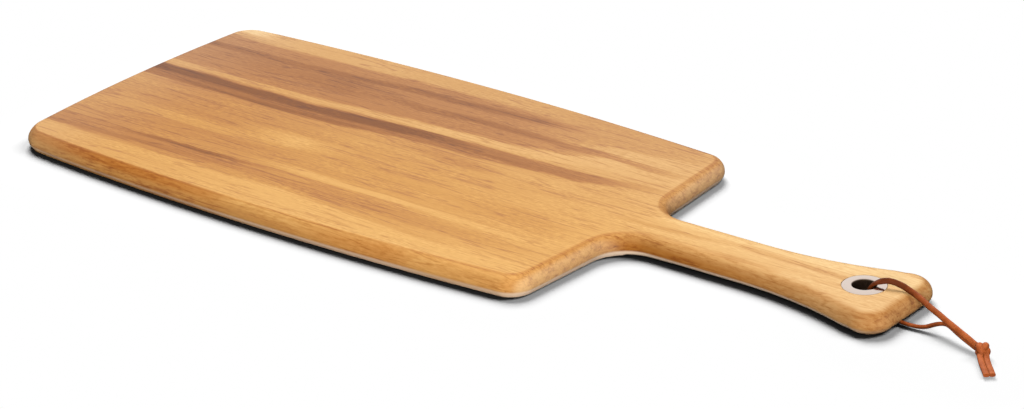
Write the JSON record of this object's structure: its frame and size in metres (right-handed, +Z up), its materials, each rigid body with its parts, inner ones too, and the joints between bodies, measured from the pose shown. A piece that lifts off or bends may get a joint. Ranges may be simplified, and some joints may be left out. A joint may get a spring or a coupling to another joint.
{
  "type": "serving board",
  "caption": "Wooden paddle serving board with bowed sides, a flared handle, a metal eyelet in the handle and a knotted leather hanging thong.",
  "frame": {"origin": "on the table under the middle of the plank's bounding box, the thong left out", "axes": "+X along the board towards the handle, +Y across it, +Z up out of the serving face"},
  "size_m": [0.568, 0.2, 0.0162],
  "materials": {
    "wood": "oiled hardwood with long brown streaks, satin",
    "eyelet_metal": "pale satin metal",
    "leather": "tan leather lace, matt"
  },
  "bodies": {
    "board": {"board": "wood", "eyelet": "eyelet_metal", "thong_over_handle": "leather", "thong_under_handle": "leather"},
    "thong_loop": {"thong_loop_upper": "leather", "thong_loop_lower": "leather", "thong_knot": "leather", "thong_tail_near": "leather", "thong_tail_far": "leather"}
  },
  "joints": [
    {"name": "thong_swing", "type": "hinge", "parent": "board", "child": "thong_loop", "pos_m": [0.2705, -0.0044, 0.004], "axis": [0, 0, 1], "range_deg": [-60, 60]}
  ]
}
